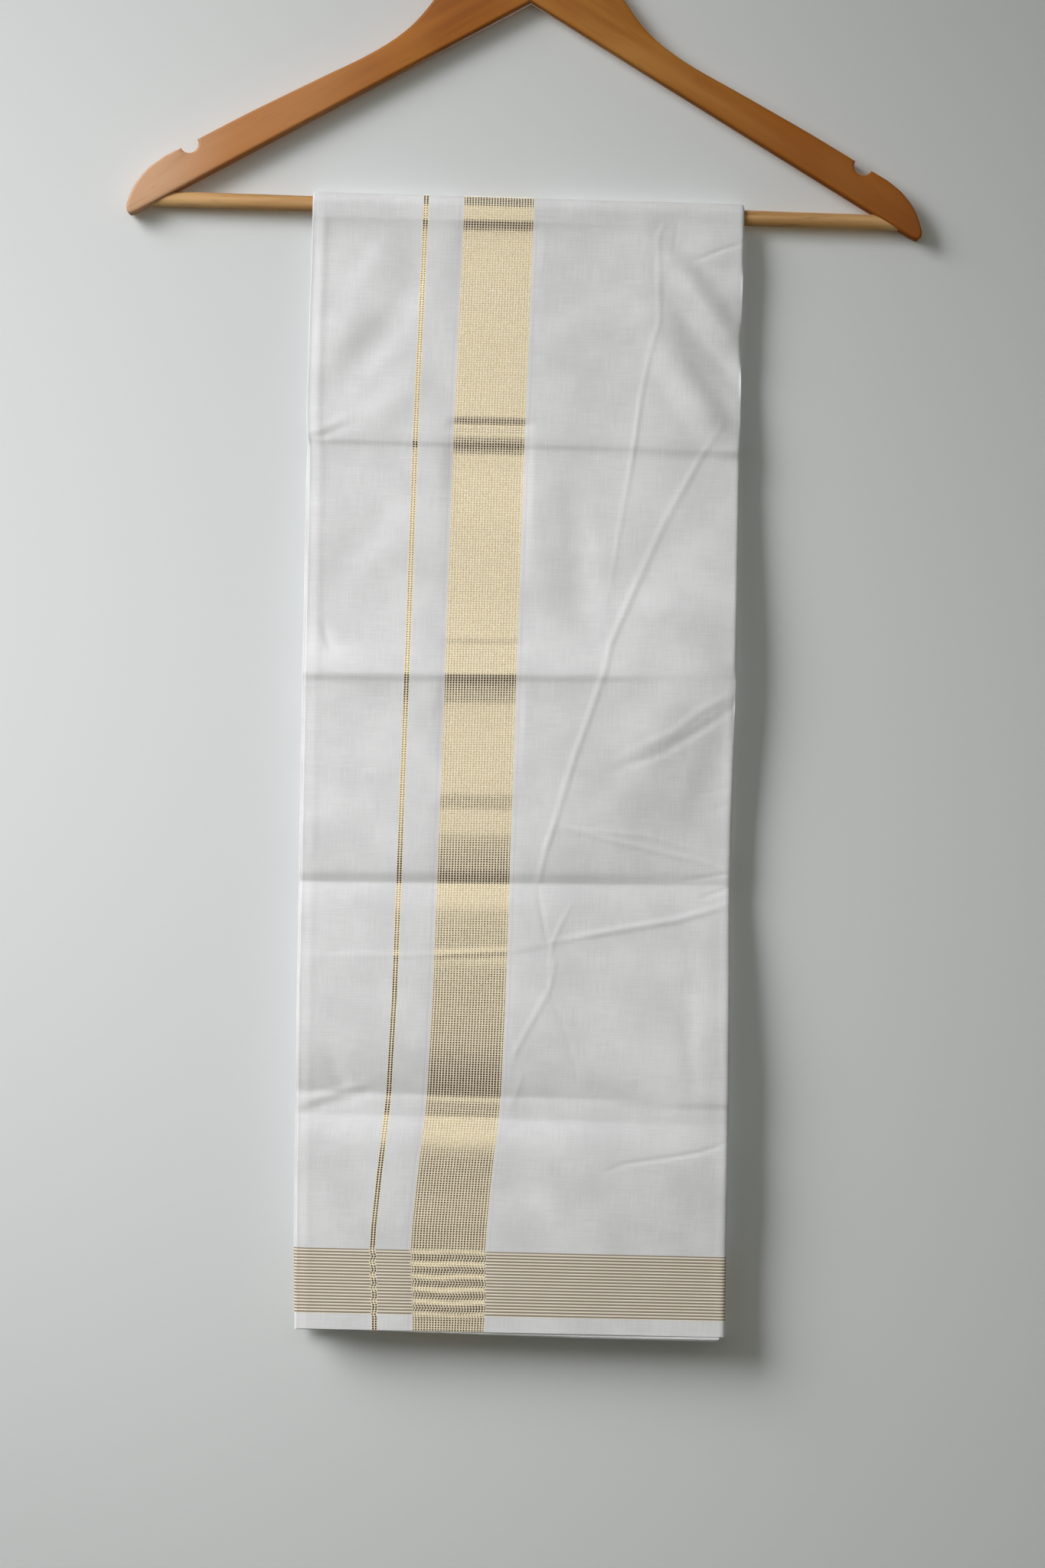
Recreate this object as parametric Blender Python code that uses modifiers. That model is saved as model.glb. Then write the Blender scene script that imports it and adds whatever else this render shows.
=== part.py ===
"""Folded dhoti cloth hung over the bar of a wooden hanger.

Metres, +Z up, front towards -Y. The origin is the hook's seat: the inside of the wire's top,
where it rests on a rail. The hanger leans a little, clockwise from the front, and the cloth
hangs plumb from it.
"""
import math

import bmesh
import bpy
from mathutils import Matrix, Vector

for leftover in list(bpy.data.objects):
    bpy.data.objects.remove(leftover, do_unlink=True)

# Clearance that neighbouring pieces keep at a seat or between layers
SEAT_GAP = 0.0003

# Hanger: wood, bar and wire
HANG_LEAN = math.radians(0.9)
BAR_DROP = 0.215
BAR_RADIUS = 0.0043
BAR_HALF_LENGTH = 0.209
WOOD_THICKNESS = 0.012
WOOD_EDGE_ROUND = 0.0014
OUTLINE_STEP = 0.004
WIRE_RADIUS = 0.0019
HOOK_INNER_RADIUS = 0.022
STEM_DEPTH = 0.017

# Underside of an arm: a straight line from the inner apex out to the tip, from the bar's axis
APEX_HEIGHT = 0.1165
UNDERSIDE_END = (0.216, -0.0079)

# Round notch for a strap, on the arm's top line
NOTCH_X = 0.1883
NOTCH_RADIUS = 0.0052
NOTCH_STEPS = 12

# Top line of an arm, from the middle of the neck out to the notch
ARM_TOP = (
    # x from the middle, height above the bar's axis
    (0.000, 0.1480),
    (0.014, 0.1476),
    (0.025, 0.1448),
    (0.034, 0.1395),
    (0.041, 0.1325),
    (0.047, 0.1250),
    (0.053, 0.1172),
    (0.059, 0.1090),
    (0.067, 0.1000),
    (0.078, 0.0911),
    (0.093, 0.0818),
    (0.114, 0.0709),
    (0.137, 0.0588),
    (0.160, 0.0465),
    (0.1883, 0.0306),
    (0.202, 0.0230),
)

# Rounded shoulder end, from the top line down to the underside
ARM_TIP = (
    # x from the middle, height above the bar's axis
    (0.202, 0.0230),
    (0.2105, 0.0163),
    (0.2175, 0.0075),
    (0.2215, -0.0020),
    (0.2222, -0.0065),
    (0.2204, -0.0094),
    (0.216, -0.0079),
)

# Cloth: one woven length folded lengthwise into a strip, hung halfway over the bar
LEAF_THICKNESS = 0.001
CORE_THICKNESS = 0.001
STACK_THICKNESS = 2 * LEAF_THICKNESS + CORE_THICKNESS + 2 * SEAT_GAP
FALL_HALF_GAP = 0.0036
FALL_CLOSES_AT = 0.09
LEFT_EDGE = -0.1222
RIGHT_EDGE = 0.1190
LEAF_STEP_BACK = 0.0016
FRONT_HEM_DROP = 0.6256
BACK_HEM_LONGER = 0.0022

# How far the side edges wander from straight, down the fall
EDGE_DRIFT = (
    # drop below the bar, left edge outwards, right edge outwards
    (0.000, -0.0008, 0.0005),
    (0.125, 0.0006, 0.0002),
    (0.262, 0.0005, -0.0001),
    (0.376, 0.0004, -0.0009),
    (0.495, 0.0003, 0.0000),
    (0.582, -0.0005, 0.0001),
    (0.630, -0.0017, 0.0000),
)

# Packet creases across the strip, and how far the cloth stands out (+) or in (-) there
CREASES = (
    # drop at left, drop at right, relief of the front fall, relief of the back fall
    (0.0075, 0.0051, 0.0000, 0.0000),
    (0.1334, 0.1318, -0.0012, 0.0014),
    (0.2643, 0.2582, 0.0022, -0.0018),
    (0.3793, 0.3736, -0.0026, 0.0020),
    (0.4964, 0.4954, -0.0010, -0.0008),
    (FRONT_HEM_DROP, FRONT_HEM_DROP, 0.0008, 0.0006),
)
PANEL_BOW = 0.0009
PANEL_ROWS = (0.04, 0.15, 0.3, 0.5, 0.7, 0.85, 0.96, 1.0)

# Soft slanting folds that stand out of the outer leaf
DRAG_FOLDS = (
    # side, start x, start drop, end x, end drop, sideways bow, height, half width
    (-1, 0.078, 0.010, 0.047, 0.217, 0.004, 0.0010, 0.013),
    (-1, 0.108, 0.120, 0.012, 0.372, 0.008, 0.0013, 0.014),
    (-1, 0.025, 0.385, -0.004, 0.470, -0.004, 0.0010, 0.012),
    (-1, 0.018, 0.408, 0.118, 0.386, -0.003, 0.0011, 0.011),
    (-1, 0.020, 0.343, 0.108, 0.364, 0.002, 0.0009, 0.011),
    (-1, 0.118, 0.512, 0.050, 0.538, 0.003, 0.0009, 0.011),
    (-1, 0.088, 0.024, 0.119, 0.110, 0.008, 0.0012, 0.014),
    (-1, -0.080, 0.030, -0.121, 0.116, -0.006, 0.0011, 0.015),
    (1, -0.070, 0.040, -0.020, 0.250, 0.006, 0.0011, 0.014),
    (1, 0.020, 0.270, 0.085, 0.420, -0.008, 0.0012, 0.014),
    (1, -0.100, 0.400, -0.012, 0.500, 0.006, 0.0010, 0.013),
)

OUTER_COLUMNS = 20
INNER_COLUMNS = 3
SPINE_SEGMENTS = 6
BAR_TURN_ROWS = 14

# Steps of the hidden layers where they show past the outer leaf
LEFT_STEPS = (0.0005, 0.0000, 0.0009)
HEM_STEPS = (
    # longer than the outer leaf, share of the stack that reaches so far
    (0.0012, 1.0),
    (0.0013, 2 / 3),
    (0.0022, 2 / 3),
    (0.0023, 1 / 3),
    (0.0032, 1 / 3),
)

part = bpy.data.collections.new("dhoti_on_hanger")
cutters = bpy.data.collections.new("cutters")
for collection in (part, cutters):
    bpy.context.scene.collection.children.link(collection)


def surface(name, colour, roughness, metallic=0.0):
    """One plain material of the part."""
    made = bpy.data.materials.new(name)
    made.use_nodes = True
    shader = made.node_tree.nodes["Principled BSDF"]
    shader.inputs["Base Color"].default_value = (*colour, 1.0)
    shader.inputs["Roughness"].default_value = roughness
    shader.inputs["Metallic"].default_value = metallic
    return made


def add_object(name, data, material, parent=None):
    """Put one named piece into the part's collection."""
    piece = bpy.data.objects.new(name, data)
    data.materials.append(material)
    part.objects.link(piece)
    piece.parent = parent
    return piece


def add_cutter(name, radius, depth, matrix, parent):
    """A cylinder that only cuts holes."""
    mesh = bpy.data.meshes.new(name)
    bm = bmesh.new()
    bmesh.ops.create_cone(bm, cap_ends=True, segments=32, radius1=radius, radius2=radius,
                          depth=depth, matrix=matrix)
    bm.to_mesh(mesh)
    bm.free()
    cutter = bpy.data.objects.new(name, mesh)
    cutters.objects.link(cutter)
    cutter.parent = parent
    cutter.hide_render = True
    cutter.display_type = "WIRE"
    return cutter


def smooth_line(points, step):
    """Points about a step apart on the Catmull-Rom curve through a short table."""
    ends = [Vector(points[0]) * 2 - Vector(points[1]), Vector(points[-1]) * 2 - Vector(points[-2])]
    knots = [ends[0], *[Vector(point) for point in points], ends[1]]
    line = []
    for a, b, c, d in zip(knots, knots[1:], knots[2:], knots[3:]):
        count = max(1, round((c - b).length / step))
        for index in range(count):
            t = index / count
            line.append(0.5 * (2 * b + (c - a) * t + (2 * a - 5 * b + 4 * c - d) * t ** 2
                               + (3 * b - a - 3 * c + d) * t ** 3))
    return [*line, knots[-2]]


def table_value(table, key, column):
    """A value between the rows of a table, read along its first column."""
    if key <= table[0][0]:
        return table[0][column]
    for above, below in zip(table, table[1:]):
        if key <= below[0]:
            share = (key - above[0]) / (below[0] - above[0])
            return above[column] + (below[column] - above[column]) * share
    return table[-1][column]


def arm_outline():
    """The right arm, from the joint's top over the notch and round the tip to the inner apex."""
    top = smooth_line(ARM_TOP, OUTLINE_STEP)
    notch_z = table_value(ARM_TOP, NOTCH_X, 1)
    slope = (ARM_TOP[-1][1] - ARM_TOP[-3][1]) / (ARM_TOP[-1][0] - ARM_TOP[-3][0])
    lean = math.atan(slope)
    turns = [lean + math.pi * (1 + step / NOTCH_STEPS) for step in range(NOTCH_STEPS + 1)]
    notch = [Vector((NOTCH_X + NOTCH_RADIUS * math.cos(turn), notch_z + NOTCH_RADIUS * math.sin(turn)))
             for turn in turns]
    before = [point for point in top if point.x < notch[0].x - OUTLINE_STEP / 3]
    after = [point for point in top if point.x > notch[-1].x + OUTLINE_STEP / 3]
    tip = smooth_line(ARM_TIP, OUTLINE_STEP / 2)[1:]
    joint = SEAT_GAP / 2
    before[0].x = joint
    apex_z = APEX_HEIGHT + (UNDERSIDE_END[1] - APEX_HEIGHT) * joint / UNDERSIDE_END[0]
    return [*before, *notch, *after, *tip, Vector((joint, apex_z))]


def make_arm(name, side, material, hanger, bores):
    """One flat arm of the hanger: its outline cut from board, edges eased, holes bored."""
    bm = bmesh.new()
    front = -WOOD_THICKNESS / 2
    outline = [bm.verts.new((side * point.x, front, point.y - BAR_DROP)) for point in arm_outline()]
    board = bm.faces.new(outline)
    sides = bmesh.ops.extrude_face_region(bm, geom=[board], use_keep_orig=True)
    moved = [item for item in sides["geom"] if isinstance(item, bmesh.types.BMVert)]
    bmesh.ops.translate(bm, verts=moved, vec=(0, WOOD_THICKNESS, 0))
    bmesh.ops.recalc_face_normals(bm, faces=bm.faces)
    joint = SEAT_GAP / 2 + 1e-6
    rims = [edge for edge in bm.edges
            if abs(edge.verts[0].co.y - edge.verts[1].co.y) < 1e-6
            and max(abs(vert.co.x) for vert in edge.verts) > joint]
    bmesh.ops.bevel(bm, geom=rims, offset=WOOD_EDGE_ROUND, segments=3, profile=0.5,
                    affect="EDGES", clamp_overlap=True)
    mesh = bpy.data.meshes.new(name)
    bm.to_mesh(mesh)
    bm.free()
    arm = add_object(name, mesh, material, hanger)
    for bore in bores:
        cut = arm.modifiers.new(bore.name, "BOOLEAN")
        cut.object = bore
        cut.operation = "DIFFERENCE"
        cut.solver = "EXACT"
    return arm


def make_bar(material, hanger):
    """The round bar between the arms, seated in their bores."""
    bm = bmesh.new()
    along_x = Matrix.Translation((0, 0, -BAR_DROP)) @ Matrix.Rotation(math.pi / 2, 4, "Y")
    bmesh.ops.create_cone(bm, cap_ends=True, segments=32, radius1=BAR_RADIUS, radius2=BAR_RADIUS,
                          depth=2 * BAR_HALF_LENGTH, matrix=along_x)
    mesh = bpy.data.meshes.new("hanger_bar")
    bm.to_mesh(mesh)
    bm.free()
    return add_object("hanger_bar", mesh, material, hanger)


def hook_line():
    """The wire's middle line: up the stem, a short bend right, then round over the rail."""
    radius = HOOK_INNER_RADIUS + WIRE_RADIUS
    start = math.radians(-70)
    finish = math.radians(202)
    bend_radius = radius * math.cos(start) / (1 - math.cos(start))
    bend_z = radius * math.sin(start) - HOOK_INNER_RADIUS + bend_radius * math.sin(start)
    wood_top = ARM_TOP[0][1] - BAR_DROP
    line = [Vector((0, 0, wood_top - STEM_DEPTH)), Vector((0, 0, (wood_top + bend_z) / 2))]
    for step in range(7):
        turn = -start * step / 6
        line.append(Vector((bend_radius * (1 - math.cos(turn)), 0,
                            bend_z + bend_radius * math.sin(turn))))
    for step in range(1, 31):
        angle = start + (finish - start) * step / 30
        line.append(Vector((radius * math.cos(angle), 0,
                            radius * math.sin(angle) - HOOK_INNER_RADIUS)))
    return line


def make_hook(material, hanger):
    """The steel wire hook, screwed into the neck between the arms."""
    curve = bpy.data.curves.new("hanger_hook", "CURVE")
    curve.dimensions = "3D"
    curve.bevel_depth = WIRE_RADIUS
    curve.bevel_resolution = 2
    curve.use_fill_caps = True
    line = hook_line()
    spline = curve.splines.new("POLY")
    spline.points.add(len(line) - 1)
    for point, place in zip(spline.points, line):
        point.co = (*place, 1)
    return add_object("hanger_hook", curve, material, hanger)


def fall_half_gap(drop):
    """Half the space between the falls, which the bar holds open at the top."""
    share = min(1.0, drop / FALL_CLOSES_AT)
    eased = share * share * (3 - 2 * share)
    held = BAR_RADIUS + SEAT_GAP
    return held + (FALL_HALF_GAP - held) * eased


def fall_rows(side):
    """Rows of one fall, hem first: side, drop at the left, drop at the right, relief."""
    column = 2 if side < 0 else 3
    rows = [(side, *CREASES[0][:2], CREASES[0][column])]
    for above, below in zip(CREASES, CREASES[1:]):
        for share in PANEL_ROWS:
            left, right = (above[i] + (below[i] - above[i]) * share for i in (0, 1))
            relief = above[column] + (below[column] - above[column]) * share
            relief += PANEL_BOW * math.sin(math.pi * share) * (1 if below[column] > 0 else 0.3)
            rows.append((side, left, right, relief))
    if side > 0:
        rows[-1] = (side, rows[-1][1] + BACK_HEM_LONGER, rows[-1][2] + BACK_HEM_LONGER, rows[-1][3])
    return rows[::-1]


def strip_rows():
    """All rows of the hung strip, from the front hem over the bar to the back hem."""
    turn = [(0, math.pi * step / BAR_TURN_ROWS, 0, 0) for step in range(BAR_TURN_ROWS + 1)]
    return [*fall_rows(-1), *turn, *fall_rows(1)[::-1]]


def strip_point(row, x, depth, lift=0.0):
    """A point of the strip at x, out from its inner face by a depth and a fold's lift."""
    side, left, right, relief = row
    bar_z = -BAR_DROP * math.cos(HANG_LEAN) - (x + BAR_DROP * math.sin(HANG_LEAN)) * math.tan(HANG_LEAN)
    if side == 0:
        reach = BAR_RADIUS + SEAT_GAP + depth
        return Vector((x, -reach * math.cos(left), bar_z + reach * math.sin(left)))
    across = (x - LEFT_EDGE) / (RIGHT_EDGE - LEFT_EDGE)
    drop = left + (right - left) * across
    plumb = (bar_z + BAR_DROP) * max(0.0, 1 - drop / FRONT_HEM_DROP)
    return Vector((x, side * (fall_half_gap(drop) + depth + relief + lift), plumb - BAR_DROP - drop))


def row_drop(row):
    """The mean drop of a row, for tables that run down the fall."""
    return 0.0 if row[0] == 0 else (row[1] + row[2]) / 2


def edges_at(row):
    """Left and right edge of the strip at a row."""
    drop = row_drop(row)
    return (LEFT_EDGE - table_value(EDGE_DRIFT, drop, 1), RIGHT_EDGE + table_value(EDGE_DRIFT, drop, 2))


def fold_lift(side, x, drop):
    """Height of the slanting folds at a point of the outer leaf."""
    lift = 0.0
    for fold_side, x0, drop0, x1, drop1, bow, height, half_width in DRAG_FOLDS:
        if fold_side != side:
            continue
        run = Vector((x1 - x0, drop1 - drop0))
        share = max(0.0, min(1.0, Vector((x - x0, drop - drop0)).dot(run) / run.length_squared))
        middle = Vector((x0, drop0)) + run * share
        normal = Vector((-run.y, run.x)).normalized()
        away = (Vector((x, drop)) - middle).dot(normal) - bow * math.sin(math.pi * share)
        past = (Vector((x, drop)) - middle - normal * (Vector((x, drop)) - middle).dot(normal)).length
        fade = math.exp(-(away / half_width) ** 2 - (past / half_width) ** 2)
        lift = max(lift, height * fade * (0.35 + 0.65 * math.sin(math.pi * share)))
    return lift


def leaf_section(row):
    """The outer leaf across the strip: outside, round the spine at the right, and back inside."""
    left, right = edges_at(row)
    left += LEAF_STEP_BACK
    half = STACK_THICKNESS / 2
    flat = right - half
    section = []
    for column in range(OUTER_COLUMNS):
        x = left + (flat - left) * column / (OUTER_COLUMNS - 1)
        share = min(1.0, (flat - x) / 0.012)
        section.append((x, STACK_THICKNESS, fold_lift(row[0], x, row_drop(row)) * share))
    for step in range(1, SPINE_SEGMENTS):
        angle = math.pi / 2 - math.pi * step / SPINE_SEGMENTS
        section.append((flat + half * math.cos(angle), half + half * math.sin(angle), 0.0))
    for column in range(INNER_COLUMNS):
        section.append((flat + (left - flat) * column / (INNER_COLUMNS - 1), 0.0, 0.0))
    return section


def core_section(row, share=1.0):
    """The hidden layers across the strip: rounded at the spine, stepped at the open left side."""
    left, right = edges_at(row)
    low = LEAF_THICKNESS + SEAT_GAP
    half = CORE_THICKNESS / 2
    flat = right - LEAF_THICKNESS - SEAT_GAP - half
    middle = (left + flat) / 2
    section = [(middle, 0.0), (flat, 0.0)]
    for step in range(1, SPINE_SEGMENTS):
        angle = -math.pi / 2 + math.pi * step / SPINE_SEGMENTS
        section.append((flat + half * math.cos(angle), half + half * math.sin(angle)))
    section += [(flat, CORE_THICKNESS), (middle, CORE_THICKNESS)]
    for index, step_in in enumerate(LEFT_STEPS):
        for edge in (3 - index, 2 - index):
            section.append((left + step_in, CORE_THICKNESS * edge / 3))
    return [(x, low + depth * share) for x, depth in section]


def mapped_grid(columns, rows, place):
    """A grid of points, each moved to its place(column, row)."""
    bm = bmesh.new()
    bmesh.ops.create_grid(bm, x_segments=columns - 1, y_segments=rows - 1, size=1)
    bm.verts.ensure_lookup_table()
    for index, vert in enumerate(bm.verts):
        row, column = divmod(index, columns)
        vert.co = place(column, row)
    return bm


def make_outer_leaf(material):
    """The outermost leaf of the folded strip: a hairpin wall round the hidden layers."""
    rows = strip_rows()
    sections = [leaf_section(row) for row in rows]
    bm = mapped_grid(len(sections[0]), len(rows),
                     lambda column, row: strip_point(rows[row], *sections[row][column]))
    bmesh.ops.recalc_face_normals(bm, faces=bm.faces)
    mesh = bpy.data.meshes.new("dhoti_outer_leaf")
    bm.to_mesh(mesh)
    bm.free()
    leaf = add_object("dhoti_outer_leaf", mesh, material)
    wall = leaf.modifiers.new("cloth wall", "SOLIDIFY")
    wall.thickness = LEAF_THICKNESS
    wall.offset = -1 if outer_side_faces_out(mesh) else 1
    wall.use_even_offset = True
    return leaf


def outer_side_faces_out(mesh):
    """Whether the leaf's first face, on the front's outer side, looks away from the bar."""
    return mesh.polygons[0].normal.y < 0


def make_core(material):
    """The hidden layers as one rounded solid, stepped where their edges show."""
    rows = strip_rows()
    front_hem, back_hem = rows[0], rows[-1]
    ends = [[(hem[0], hem[1] + longer, hem[2] + longer, hem[3]) for longer, _ in HEM_STEPS]
            for hem in (front_hem, back_hem)]
    shares = [share for _, share in HEM_STEPS]
    rows = [*ends[0][::-1], *rows, *ends[1]]
    shares = [*shares[::-1], *[1.0] * (len(rows) - 2 * len(shares)), *shares]
    sections = [core_section(row, share) for row, share in zip(rows, shares)]
    around = len(sections[0])
    bm = mapped_grid(around + 1, len(rows),
                     lambda column, row: strip_point(rows[row], *sections[row][column % around]))
    bmesh.ops.remove_doubles(bm, verts=bm.verts, dist=1e-6)
    bmesh.ops.holes_fill(bm, edges=[edge for edge in bm.edges if edge.is_boundary])
    bmesh.ops.recalc_face_normals(bm, faces=bm.faces)
    mesh = bpy.data.meshes.new("dhoti_folded_layers")
    bm.to_mesh(mesh)
    bm.free()
    return add_object("dhoti_folded_layers", mesh, material)


# The hanger's own frame turns about the hook's seat
hanger_frame = bpy.data.objects.new("hanger_frame", None)
hanger_frame.rotation_euler.y = HANG_LEAN
part.objects.link(hanger_frame)

# The bar's bore runs through both arms' ends, and the stem's bore down the joint between them
bar_bore = add_cutter("bar_bore", BAR_RADIUS + SEAT_GAP, 2 * (BAR_HALF_LENGTH + SEAT_GAP),
                      Matrix.Translation((0, 0, -BAR_DROP)) @ Matrix.Rotation(math.pi / 2, 4, "Y"),
                      hanger_frame)
stem_bore = add_cutter("stem_bore", WIRE_RADIUS + SEAT_GAP, 2 * (STEM_DEPTH + SEAT_GAP),
                       Matrix.Translation((0, 0, ARM_TOP[0][1] - BAR_DROP)), hanger_frame)

varnished_wood = surface("arm_wood", (0.50, 0.24, 0.08), 0.32)
bare_wood = surface("bar_wood", (0.60, 0.37, 0.17), 0.55)
steel_wire = surface("hook_wire", (0.62, 0.62, 0.60), 0.25, 1.0)
cotton = surface("dhoti_cotton", (0.72, 0.73, 0.72), 0.85)

make_arm("hanger_arm_left", -1, varnished_wood, hanger_frame, (bar_bore, stem_bore))
make_arm("hanger_arm_right", 1, varnished_wood, hanger_frame, (bar_bore, stem_bore))
make_bar(bare_wood, hanger_frame)
make_hook(steel_wire, hanger_frame)
make_outer_leaf(cotton)
make_core(cotton)
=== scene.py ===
"""Looks of the folded dhoti cloth on its wooden hanger.

Metres, +Z up, front towards -Y. The origin is the hook's seat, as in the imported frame.
"""

import math

import bmesh
import bpy
import numpy as np
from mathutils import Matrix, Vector, noise


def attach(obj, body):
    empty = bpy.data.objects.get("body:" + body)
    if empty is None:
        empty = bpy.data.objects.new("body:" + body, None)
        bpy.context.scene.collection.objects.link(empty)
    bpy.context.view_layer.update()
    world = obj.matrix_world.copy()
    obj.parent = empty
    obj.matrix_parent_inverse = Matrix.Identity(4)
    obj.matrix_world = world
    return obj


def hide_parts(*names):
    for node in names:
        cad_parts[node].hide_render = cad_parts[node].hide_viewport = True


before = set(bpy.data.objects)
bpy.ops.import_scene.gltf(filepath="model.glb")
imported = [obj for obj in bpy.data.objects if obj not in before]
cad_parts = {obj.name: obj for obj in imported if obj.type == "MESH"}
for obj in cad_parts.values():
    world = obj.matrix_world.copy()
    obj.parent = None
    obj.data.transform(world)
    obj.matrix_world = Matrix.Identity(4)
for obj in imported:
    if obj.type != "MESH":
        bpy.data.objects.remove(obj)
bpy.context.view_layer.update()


# Outer leaf of the dhoti
# The real piece is one length of fine white cotton with gold thread woven in, pressed and folded
# in sixteen lengthwise. This leaf starts at the fold at the left, crosses the front, turns round
# the spine at the right and goes back inside. It only hangs over the bar, held by its weight.
HANGER_LEAN = math.radians(0.9)
BAR_DROP = 0.215
BAR_RADIUS = 0.0043
SEAT_GAP = 0.0003
STACK = 0.0036
STACK_SETTLES_BY = 0.07
WRAP_LEFT = 0.0022
WRAP_RIGHT = 0.0030
HEM_DROP = 0.62565
BACK_HEM_LONGER = 0.0022
OVER_BAR = 0.022
WRAP_MEASURE = 0.0071
FOLD_RADIUS = 0.00045
STRIP_LEFT = -0.1222
STRIP_RIGHT = 0.119
RIGHT_FROM = 0.02
RIGHT_EASE = 0.09
RELIEF_BY = 0.006
RELIEF_EASE = 0.0016
RELIEF_AT_EDGE = 0.35

# The weave: the pitch of its threads, the gold bands along the strip and the cross border
THREAD_PITCH = 0.00062
GOLD_ROWS = 0.00133
GOLD_SHARE = 0.66
BAND_HALF = 0.0201
BAND_PITCH = 0.00157
BAND_EDGE_LINE = 0.0221
STRIPE_PLACE = -0.04115
STRIPE_HALF = 0.0017
STRIPE_PITCH = 0.00158
BORDER_START = 0.0087
BORDER_END = 0.0446
BORDER_PITCH = 0.00174
CROSSING_PITCH = 0.00105
CROSSED_GOLD = 0.35

# Low relief: how far the band's steps reach, then height, distance from the edge and width (mm)
# of the ridges and the dip along the folded edges
STEP_REACH = 0.0265
STEP_EASE = 0.0075
LEFT_RIDGE = (0.45, 6.0, 2.6)
LEFT_DIP = (0.55, 0.0, 3.5)
RIGHT_RIDGE = (0.26, 3.2, 2.2)

# Ripples where the border crosses the gold bands, above the hem; half width and ease in a band
RIPPLE_HEIGHT = 0.00019
RIPPLE_PITCH = 0.0071
RIPPLE_START = 0.0017
RIPPLE_SPAN = (0.005, 0.010, 0.042, 0.048)
RIPPLE_BAND = (0.0215, 0.0015)
RIPPLE_STRIPE = (0.0032, 0.0012)

ROW_LINES = (
    # drop below the bar, height at the left edge, height at the right edge (mm)
    (0.0, -213.1, -216.9),
    (6.3, -220.6, -222.0),
    (132.6, -346.5, -348.7),
    (261.3, -477.4, -475.1),
    (376.5, -592.4, -590.5),
    (495.9, -709.5, -712.3),
    (625.65, -840.3, -841.0),
    (640.0, -854.6, -855.3),
)

SIDE_EDGES = (
    # drop below the bar, left edge, right edge, how far the outer leaf stays inside the left (mm)
    (-9.0, -121.5, 119.4, 0.5),
    (10.0, -121.6, 119.3, 0.3),
    (60.0, -122.4, 118.9, 0.2),
    (117.5, -123.0, 119.2, 0.2),
    (131.5, -122.3, 119.3, 0.4),
    (137.0, -122.4, 119.2, 1.5),
    (262.0, -122.7, 118.8, 1.7),
    (376.0, -122.6, 118.1, 1.5),
    (440.0, -122.5, 118.6, 1.2),
    (494.0, -122.5, 119.0, 1.4),
    (582.0, -121.7, 119.1, 1.4),
    (626.0, -120.5, 119.0, 0.8),
)

FRONT_TILT = (
    # drop, outward run per mm of drop at the left and middle, the same at the right
    (0.0, 0.000, 0.000),
    (6.0, 0.000, 0.100),
    (6.7, -0.240, 0.140),
    (9.5, -0.200, 0.180),
    (13.0, -0.110, 0.180),
    (20.0, -0.030, 0.080),
    (28.0, 0.010, 0.000),
    (42.0, 0.060, -0.040),
    (56.0, 0.080, -0.050),
    (66.0, 0.040, -0.080),
    (76.0, 0.010, -0.060),
    (90.0, 0.020, 0.060),
    (112.0, 0.030, 0.090),
    (121.0, 0.040, 0.030),
    (126.4, 0.040, 0.010),
    (128.0, -0.040, -0.050),
    (131.0, -0.060, -0.060),
    (131.8, -0.330, -0.120),
    (133.6, -0.330, -0.320),
    (134.4, -0.070, -0.320),
    (137.0, -0.030, -0.120),
    (138.4, 0.020, 0.040),
    (145.0, 0.020, 0.050),
    (148.0, 0.045, 0.050),
    (166.0, 0.050, 0.060),
    (180.0, 0.000, 0.080),
    (215.0, 0.000, 0.090),
    (226.0, 0.040, 0.060),
    (240.0, 0.100, 0.000),
    (245.0, 0.140, 0.010),
    (258.4, 0.120, 0.020),
    (260.0, -0.080, -0.060),
    (261.4, -0.340, -0.060),
    (263.4, -0.330, -0.060),
    (264.4, -0.080, -0.060),
    (270.0, -0.040, -0.060),
    (277.0, -0.010, -0.100),
    (292.0, 0.018, -0.120),
    (325.0, 0.026, -0.110),
    (335.0, 0.030, -0.080),
    (348.0, 0.010, 0.000),
    (362.0, -0.040, -0.030),
    (368.0, -0.080, -0.060),
    (370.4, -0.180, -0.140),
    (372.0, -0.360, -0.200),
    (375.9, -0.370, -0.200),
    (376.6, 0.230, 0.160),
    (384.0, 0.170, 0.160),
    (392.0, 0.032, 0.130),
    (398.0, 0.014, 0.120),
    (414.0, 0.010, 0.100),
    (416.0, 0.060, 0.110),
    (420.0, 0.050, 0.110),
    (424.0, 0.006, 0.110),
    (445.0, 0.008, 0.090),
    (466.0, -0.005, 0.050),
    (474.0, -0.070, 0.020),
    (483.0, -0.150, -0.010),
    (492.0, -0.260, -0.040),
    (494.6, -0.270, -0.060),
    (495.6, 0.100, -0.240),
    (498.2, 0.080, -0.240),
    (499.4, 0.000, 0.030),
    (507.0, 0.000, -0.010),
    (507.8, 0.280, 0.100),
    (513.0, 0.280, 0.090),
    (518.0, 0.170, 0.070),
    (524.0, 0.060, 0.040),
    (532.0, 0.000, -0.020),
    (547.0, 0.000, -0.060),
    (552.0, 0.034, -0.060),
    (564.0, 0.024, -0.080),
    (572.0, -0.010, -0.060),
    (580.0, 0.020, -0.010),
    (614.0, 0.030, 0.050),
    (626.0, 0.030, 0.110),
    (640.0, 0.030, 0.030),
)

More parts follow.
